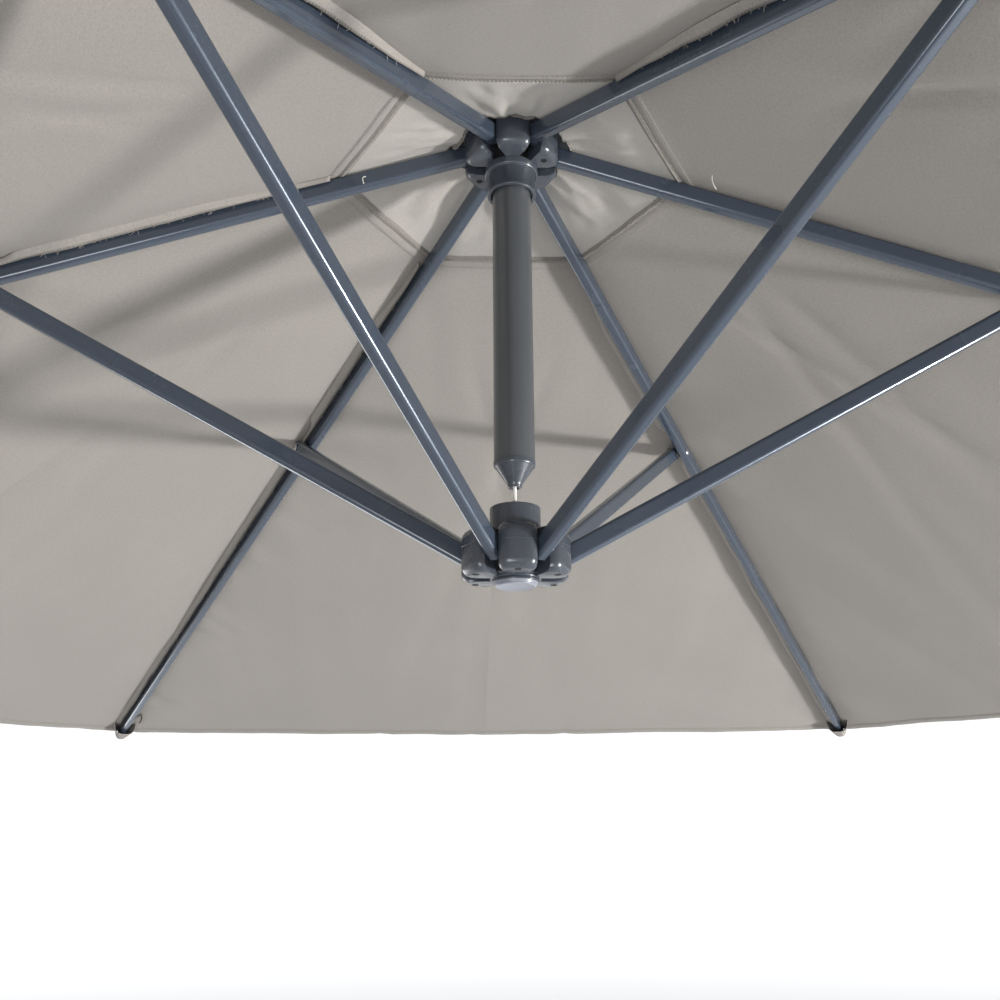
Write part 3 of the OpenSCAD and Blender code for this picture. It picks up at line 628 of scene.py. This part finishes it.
def frayed_threads(k):
    """Short loose yarns along the cut edge of the seam allowance."""
    rng = random.Random(100 + k)
    parts = []
    for _ in range(130):
        r = rng.uniform(0.21, 1.35)
        if abs(r - JOINT_R) < 0.05:
            continue
        root = flap_point(k, r, 1.0)
        along, across = rng.uniform(-1, 1), rng.uniform(-0.2, 0.5)
        way = RIB[k].out * along - RIB[k].left * flap_side(k) * across - Vector((0, 0, 0.8))
        length = rng.uniform(0.0015, 0.0042)
        parts.append(sweep_mesh([root + way.normalized() * length * t for t in (0, 0.5, 1)], 0.00022, 4))
    verts, faces = join_parts(parts)
    piece = add_mesh(f"frayed_yarns_{k}", verts, faces, SEAM_THREAD)
    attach(piece, f"rib_{k}")


def tip_pocket(k):
    """Cloth pocket that holds the end of rib k, open towards the hub."""
    verts, uvs = [], []
    start, end = RIB_END - 0.030, CORNER_R - 0.0015
    rows, cols = 12, 21
    for i in range(rows):
        t = i / (rows - 1)
        r = start + (end - start) * t
        half = 0.021 * (1 - t) + 0.0035 * t
        deep = 0.0245 * (1 - ease(t, 0.45, 1.0)) + 0.002
        for j in range(cols):
            a = math.pi * j / (cols - 1)
            side = half * math.cos(a)
            fall = deep * math.sin(a) ** 0.7
            z = sheet_z(r) - abs(side) * SLOPE * PANEL_FALL - 0.0012 - fall + 0.0008 * wave(k, t * 5, a * 3)
            verts.append(RIB[k].at(r, side, z))
            uvs.append((a * 0.01, r))
    piece = add_mesh(f"rib_pocket_{k}", verts, grid_faces(rows, cols), CLOTH, 60, uvs)
    solid = piece.modifiers.new("thickness", "SOLIDIFY")
    solid.thickness = 0.0008
    solid.offset = 0
    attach(piece, f"rib_{k}")


def rib_tie(k):
    """Small cloth loop that keeps the canopy to rib k."""
    r0 = RIB_END - 0.085
    points = []
    for i in range(17):
        a = 2 * math.pi * i / 16 * 0.78 + 0.4
        side = -0.0125 + 0.0085 * math.cos(a)
        z = sheet_z(r0) - 0.004 - 0.012 + 0.0125 * math.sin(a)
        points.append(RIB[k].at(r0 + 0.012 * math.sin(a * 0.5), side, z))
    verts = []
    for p in points:
        verts += [p - RIB[k].out * 0.006, p + RIB[k].out * 0.006]
    piece = add_mesh(f"rib_tie_{k}", verts, grid_faces(len(points), 2), CLOTH_EDGE, 60)
    solid = piece.modifiers.new("thickness", "SOLIDIFY")
    solid.thickness = 0.0008
    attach(piece, f"rib_{k}")


def hole_ruffle():
    """Raw edge of the cloth round the top hub, which hangs in a few soft lobes."""
    for k in RIBS:
        verts, uvs = [], []
        rows, cols = 6, 61
        for i in range(rows):
            t = i / (rows - 1)
            for j in range(cols):
                v = 2 * j / (cols - 1) - 1
                panel, w = panel_place(k, v)
                lobe = max(0.0, wave(panel + 150, w * 4.5) + 0.2)
                free = ease(abs(v) * HOLE_R / 2, 0.0085, 0.0125)
                fall = t * (0.0012 + 0.0075 * lobe + 0.0005 * wave(panel + 160, w * 30)) * (0.1 + 0.9 * free)
                verts.append(sector_point(k, HOLE_R + 0.0008 * (1 - t) - 0.003 * lobe * math.sin(math.pi * t), v,
                                          0.0004 + fall))
                uvs.append((v * HOLE_R / 2, HOLE_R + t * 0.01))
        piece = add_mesh(f"hub_edge_cloth_{k}", verts, grid_faces(rows, cols), [CLOTH_EDGE], 60, uvs)
        solid = piece.modifiers.new("thickness", "SOLIDIFY")
        solid.thickness = 0.0007
        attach(piece, f"rib_{k}")
        RIB[k].at(0.5)
        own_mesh(piece)


def loose_threads():
    """White thread ends at the hub and by the seams."""
    spots = [("hub_thread_front", "crown", HUB + Vector((0.004, -0.0485, 0.018)), (0.001, -0.002, -0.010)),
             ("seam_thread_left", "rib_4", RIB[4].at(0.145, 0.008, sheet_z(0.145) - 0.012), (-0.001, -0.004, -0.011)),
             ("seam_thread_far", "rib_1", RIB[1].at(0.19, -0.05, sheet_z(0.19) - 0.02), (0.004, 0.004, -0.012))]
    for name, body, root, way in spots:
        way = Vector(way)
        bend = way.orthogonal().normalized() * way.length * 0.25
        points = [root + way * t + bend * math.sin(math.pi * t) for t in (0, 0.25, 0.5, 0.75, 1)]
        verts, faces = sweep_mesh(points, 0.0004, 5)
        piece = add_mesh(name, verts, faces, THREAD)
        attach(piece, body)


# ---------------------------------------------------------------- hubs


def lug(angle, levels, r_in, centre, slot_half, steps=40):
    """A moulded lug between two slots, wedge shaped in plan. levels are (height, outer radius, half width)."""
    verts = []
    out = Vector((math.cos(angle), math.sin(angle), 0))
    left = Vector((-math.sin(angle), math.cos(angle), 0))
    for z, r_out, half in levels:
        mid, reach = (r_out + r_in) / 2, (r_out - r_in) / 2
        for j in range(steps):
            a = 2 * math.pi * j / steps
            c, s = math.cos(a), math.sin(a)
            x = mid + reach * math.copysign(abs(c) ** 0.6, c)
            y = half * math.copysign(abs(s) ** 0.6, s)
            wedge = max(0.5 * MM, x * 0.5774 - slot_half / 0.866)
            verts.append(centre + out * x + left * max(-wedge, min(wedge, y)) + Vector((0, 0, z)))
    return verts, grid_faces(len(levels), steps, wrap=True) + end_faces(len(levels), steps)


def lug_levels(low, high, outer, half, low_curve, high_curve):
    """Levels of a lug that rounds in by low_curve at its foot and by high_curve at its head."""
    levels = []
    for i in range(7):
        a = math.pi / 2 * i / 6
        cut = low_curve * (1 - math.sin(a))
        levels.append((low + low_curve * (1 - math.cos(a)), outer - cut, half - cut * 0.6))
    for i in range(7):
        a = math.pi / 2 * i / 6
        cut = high_curve * (1 - math.cos(a))
        levels.append((high - high_curve * (1 - math.sin(a)), outer - cut, half - cut * 0.6))
    return levels


def moulded_hub(name, body, node, plane_z, levels, slot_half, core_profile, hole_angles, hole_r, shade):
    """Hub with six lugs between its slots, a turned core, screw recesses drawn as near-black discs of painted shade,
    and a near-black ring of painted shade inside the slots.
    """
    centre = Vector((HUB.x, HUB.y, plane_z))
    parts = [lathe_mesh(core_profile, centre, 72)]
    low, high, r_painted_slot_shade = shade
    # Painted shade: a near-black ring inside the slots stands in for the shade of the deep slots; it is no real part.
    verts, faces = lathe_mesh([(r_painted_slot_shade, low), (r_painted_slot_shade, high), (r_painted_slot_shade - 1 * MM, high), (r_painted_slot_shade - 1 * MM, low),
                               (r_painted_slot_shade, low)], centre, 48)
    painted_slot_shade = add_mesh(name + "_painted_slot_shade", verts, faces, PAINTED_SHADE_BLACK, 40)
    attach(painted_slot_shade, body)
    for k in RIBS:
        parts.append(lug(math.radians(60 * k - 30), levels, 17 * MM, centre, slot_half))
    verts, faces = join_parts(parts)
    piece = add_mesh(name, verts, faces, MOULDED, 40)
    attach(piece, body)
    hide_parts(node)
    # Painted shade: each screw recess is a near-black disc at the lug's foot, standing in for the shade of the hole.
    holes = []
    for degrees in hole_angles:
        angle = math.radians(degrees)
        spot = centre + Vector((math.cos(angle), math.sin(angle), 0)) * hole_r + Vector((0, 0, levels[0][0]))
        ring = [(0.1 * MM, 0.0), (3.1 * MM, -0.15 * MM), (3.4 * MM, 0.2 * MM), (3.4 * MM, 1 * MM), (0.1 * MM, 1 * MM)]
        holes.append(lathe_mesh(ring, spot, 24))
    verts, faces = join_parts(holes)
    recess = add_mesh(name + "_painted_screw_recess_shade", verts, faces, PAINTED_SHADE_BLACK)
    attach(recess, body)


def top_hub():
    profile = [(20.6, -44), (20.6, -49.4), *arc(21.4, -49.2, 0.8, 180, 270, 3), *arc(23.4, -49.2, 0.8, -90, 0, 3),
               (24.2, -47.6), (23.6, -46.6), (23.5, -28), *arc(25.2, -26.4, 1.6, 225, 360, 5), (26.2, -20),
               (20.4, -17), (20.4, 14), (44, 16), *arc(44, 19, 3, -80, 90, 5), (19.2, 22), (19.2, -44), (20.6, -44)]
    moulded_hub("top_hub_moulding", "crown", "top_hub", HUB.z,
                lug_levels(-20 * MM, 18 * MM, 48 * MM, 17.6 * MM, 7 * MM, 9 * MM), RIB_W / 2 + 0.5 * MM,
                # last tuple: height span and radius of the ring of painted shade in the slots
                [(r * MM, z * MM) for r, z in profile], (150, 330), 36.5 * MM, (-17 * MM, 15 * MM, 21.4 * MM))


def runner():
    profile = [(3, -20), (19.4, -20), *arc(20.6, -19.4, 0.8, -120, 0, 4), (21.3, -18.2), (20.9, -17.4),
               *arc(22, -16.6, 0.8, -110, 0, 4), (22.8, -15), (24.4, -13.6), (24.4, 14), (23, 20), (23, 47.8),
               *arc(21.8, 47.8, 1.2, 0, 90, 4), (19.2, 49), (18.9, 48.2), (18.9, 12), (3, 12)]
    moulded_hub("runner_moulding", "runner", "runner_hub", STRUT_Z,
                lug_levels(-17 * MM, 25 * MM, 50.4 * MM, 17.6 * MM, 8 * MM, 10 * MM), 6.4 * MM,
                # last tuple: height span and radius of the ring of painted shade in the slots
                [(r * MM, z * MM) for r, z in profile], range(30, 360, 60), 41 * MM, (-13 * MM, 18 * MM, 25.2 * MM))
    seams = []
    centre = Vector((HUB.x, HUB.y, STRUT_Z + 8.5 * MM))
    for k in RIBS:
        angle = math.radians(60 * k - 30)
        out = Vector((math.cos(angle), math.sin(angle), 0))
        left = Vector((-math.sin(angle), math.cos(angle), 0))
        points = []
        for i in range(21):
            a = math.pi * (i / 20 - 0.5) * 0.86
            c, s = math.cos(a), math.sin(a)
            points.append(centre + out * ((33.7 + 16.75 * abs(c) ** 0.6) * MM)
                          + left * (17.65 * MM * math.copysign(abs(s) ** 0.6, s)))
        seams.append(sweep_mesh(points, 0.00035, 5))
    verts, faces = join_parts(seams)
    piece = add_mesh("runner_parting_lines", verts, faces, MOULDED)
    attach(piece, "runner")


def runner_bottom_cap():
    place = Vector((HUB.x, HUB.y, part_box("runner_cap")[0].z))
    r = 20.0 * MM
    edge = [(17.2, 0), (17.9, 0.4), (18.2, 1.0), (17.7, 1.3), (18.9, 1.5), (19.2, 2.2), (18.6, 2.4), (19.7, 2.7)]
    profile = [(0.5 * MM, 0.3 * MM), (16.4 * MM, 0.3 * MM), *[(a * MM, b * MM) for a, b in edge], (r, 3.6 * MM),
               (8.6 * MM, 3.6 * MM), (8.6 * MM, 8 * MM), (0.5 * MM, 8 * MM)]
    verts, faces = lathe_mesh(profile, place, 64)
    piece = add_mesh("runner_bottom_cap", verts, faces, CAP_GREY)
    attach(piece, "runner")
    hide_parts("runner_cap")


def cone():
    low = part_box("cone_end")[0]
    tube_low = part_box("crown_tube")[0].z
    r = size("cone_end").x / 2
    drop = tube_low - low.z
    profile = [(4.2 * MM, 1.2 * MM), (5.0 * MM, 0.2 * MM), *arc(5.6 * MM, 0.9 * MM, 0.9 * MM, -90, 0, 3),
               (6.6 * MM, 2.6 * MM), (7.6 * MM, 4.2 * MM), (r - 1.4 * MM, drop - 5.2 * MM),
               *arc(r - 2.6 * MM, drop - 3.6 * MM, 2.6 * MM, -35, 0, 5), (r, drop - 0.3 * MM), (r - 0.5 * MM, drop),
               (17 * MM, drop), (17 * MM, drop + 17 * MM), (4.2 * MM, drop + 17 * MM)]
    verts, faces = lathe_mesh(profile, Vector((HUB.x, HUB.y, low.z)), 72)
    piece = add_mesh("hanging_tube_cone", verts, faces, MOULDED, 30)
    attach(piece, "crown")
    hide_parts("cone_end")


def cord_drop():
    """Twisted hoist cord from inside the cone to its knot in the runner."""
    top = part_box("crown_tube")[0].z - 0.010
    low = STRUT_Z + 0.012
    count = 60
    strands = []
    for s in range(3):
        points = []
        for i in range(count + 1):
            t = i / count
            a = 2 * math.pi * (t * 9 + s / 3)
            points.append(Vector((HUB.x + 0.00085 * math.cos(a), HUB.y + 0.00085 * math.sin(a), low + (top - low) * t)))
        strands.append(sweep_mesh(points, 0.00105, 8))
    verts, faces = join_parts(strands)
    piece = add_mesh("hoist_cord_strands", verts, faces, CORD)
    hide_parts("hoist_cord_drop")
    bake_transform(piece)


def rib_ends(k):
    """Tip cap, rivet with two domed heads, and the washer between rib and strut."""
    turn = Matrix.Rotation(math.radians(60 * (k - 1)), 4, "Z") @ Matrix.Rotation(TILT, 4, "Y")
    root = RIB[k].at(PIVOT_R)
    along = (RIB_END - PIVOT_R) / math.cos(TILT)
    strut_along = (Vector(JOINTS[f"strut_fold_{k}"]["pos_m"]) - root)
    local = turn.to_3x3().inverted() @ strut_along
    low_y, high_y = -RIB_W / 2 - 0.3 * MM, local.y + 5.8 * MM + 1.1 * MM

    def place(verts):
        return [root + turn.to_3x3() @ v for v in verts]

    head = [(0.4 * MM, 2.0 * MM), (2.6 * MM, 1.7 * MM), (4.4 * MM, 1.0 * MM), (5.3 * MM, 0.2 * MM), (5.3 * MM, 0.0),
            (0.4 * MM, 0.0)][::-1]
    parts = []
    for y, way in ((low_y, -1), (high_y, 1)):
        verts, faces = lathe_mesh(head, Vector((0, 0, 0)), 28, "Y")
        verts = [Vector((local.x + v.x, y + way * v.y, local.z + v.z)) for v in verts]
        parts.append((place(verts), faces if way > 0 else [f[::-1] for f in faces]))
    shank = [(3 * MM, low_y), (3 * MM, high_y)]
    verts, faces = lathe_mesh(shank, Vector((0, 0, 0)), 24, "Y")
    parts.append((place([Vector((local.x + v.x, v.y, local.z + v.z)) for v in verts]), faces))
    verts, faces = join_parts(parts)
    rivet = add_mesh(f"strut_rivet_{k}", verts, faces, ZINC)
    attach(rivet, f"rib_{k}")
    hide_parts(f"rib_fittings_{k}")
    ring = [(7 * MM, 0.4 * MM), (7 * MM, 1.6 * MM), (6.6 * MM, 1.9 * MM), (3.1 * MM, 1.9 * MM), (3.1 * MM, 0.1 * MM),
            (6.6 * MM, 0.1 * MM)]
    verts, faces = lathe_mesh(ring + [ring[0]], Vector((0, 0, 0)), 32, "Y")
    verts = place([Vector((local.x + v.x, RIB_W / 2 + v.y, local.z + v.z)) for v in verts])
    washer = add_mesh(f"strut_washer_{k}", verts, faces, MATT_BLACK)
    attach(washer, f"rib_{k}")
    loops, count = [], 32
    for x, grow in ((-6 * MM, -0.02 * MM), (0.1 * MM, 0.05 * MM), (2.6 * MM, 0.05 * MM), (4.0 * MM, -1.4 * MM)):
        for j in range(count):
            a = 2 * math.pi * j / count
            c, s = math.cos(a), math.sin(a)
            y = (RIB_W / 2 + grow) * math.copysign(abs(c) ** 0.55, c)
            z = (RIB_H / 2 + grow) * math.copysign(abs(s) ** 0.55, s)
            loops.append(Vector((along + x, y, z)))
    faces = grid_faces(4, count, wrap=True)
    faces += [list(range(count))[::-1], [3 * count + j for j in range(count)]]
    cap = add_mesh(f"rib_tip_cap_{k}", place(loops), faces, MATT_BLACK)
    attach(cap, f"rib_{k}")


# ---------------------------------------------------------------- CAD nodes and floor


def finish_cad_nodes():
    """Materials for the CAD nodes whose shape is already right."""
    table = {
        POLE_PAINT: ["crown_tube"],
        PAINT: ["base_bar_x", "base_bar_y", "mast_foot", "mast_lower", "mast_upper", "crank_arm",
                *[f"rib_{k}" for k in RIBS], *[f"strut_{k}" for k in RIBS]],
        ZINC: ["foot_bolts", "mast_sleeve", "mast_screws", "housing_screws", "pulley_axle", "tilt_screws",
               "crank_shaft", "hub_pins", "runner_screws"],
        MATT_BLACK: ["base_end_caps", "filler_caps", "cord_drum", "tilt_knob", "crank_knob"],
        MOULDED: ["crank_housing_left", "crank_housing_right", "arm_end_fork", "crown_cap", "crown_knuckle"],
        NYLON: ["shaft_bushes", "cord_pulley"],
        TANK: ["ballast_tanks"],
        CORD: ["hoist_cord"],
        SAND: ["sand_fill"],
    }
    for material, nodes in table.items():
        for node in nodes:
            use_material(node, material)


def floor():
    verts = [(-30, -30, -0.0005), (30, -30, -0.0005), (30, 30, -0.0005), (-30, 30, -0.0005)]
    stone = coated("pale_floor", (0.86, 0.86, 0.87), 0.7, 40, 0.03, 0.02, 0.001, (0.8, 0.8, 0.8, 1))
    tree = stone.node_tree
    away = tree.nodes.new("ShaderNodeVectorMath")
    away.operation = "LENGTH"
    tree.links.new(place_of(tree), away.inputs[0])
    skin = tree.nodes["Principled BSDF"]
    skin.inputs["Emission Color"].default_value = (1, 1, 1, 1)
    tree.links.new(spread(tree, away.outputs["Value"], 5, 14, 0, 0.5), skin.inputs["Emission Strength"])
    piece = add_mesh("floor", verts, [[0, 1, 2, 3]], stone)


place_camera()
cord_drop()
light_the_scene()
floor()
finish_cad_nodes()
for k in RIBS:
    canopy_sector(k)
    seam_flap(k)
    frayed_threads(k)
    tip_pocket(k)
    rib_ends(k)
rib_tie(3)
hole_ruffle()
loose_threads()
top_hub()
runner()
runner_bottom_cap()
cone()
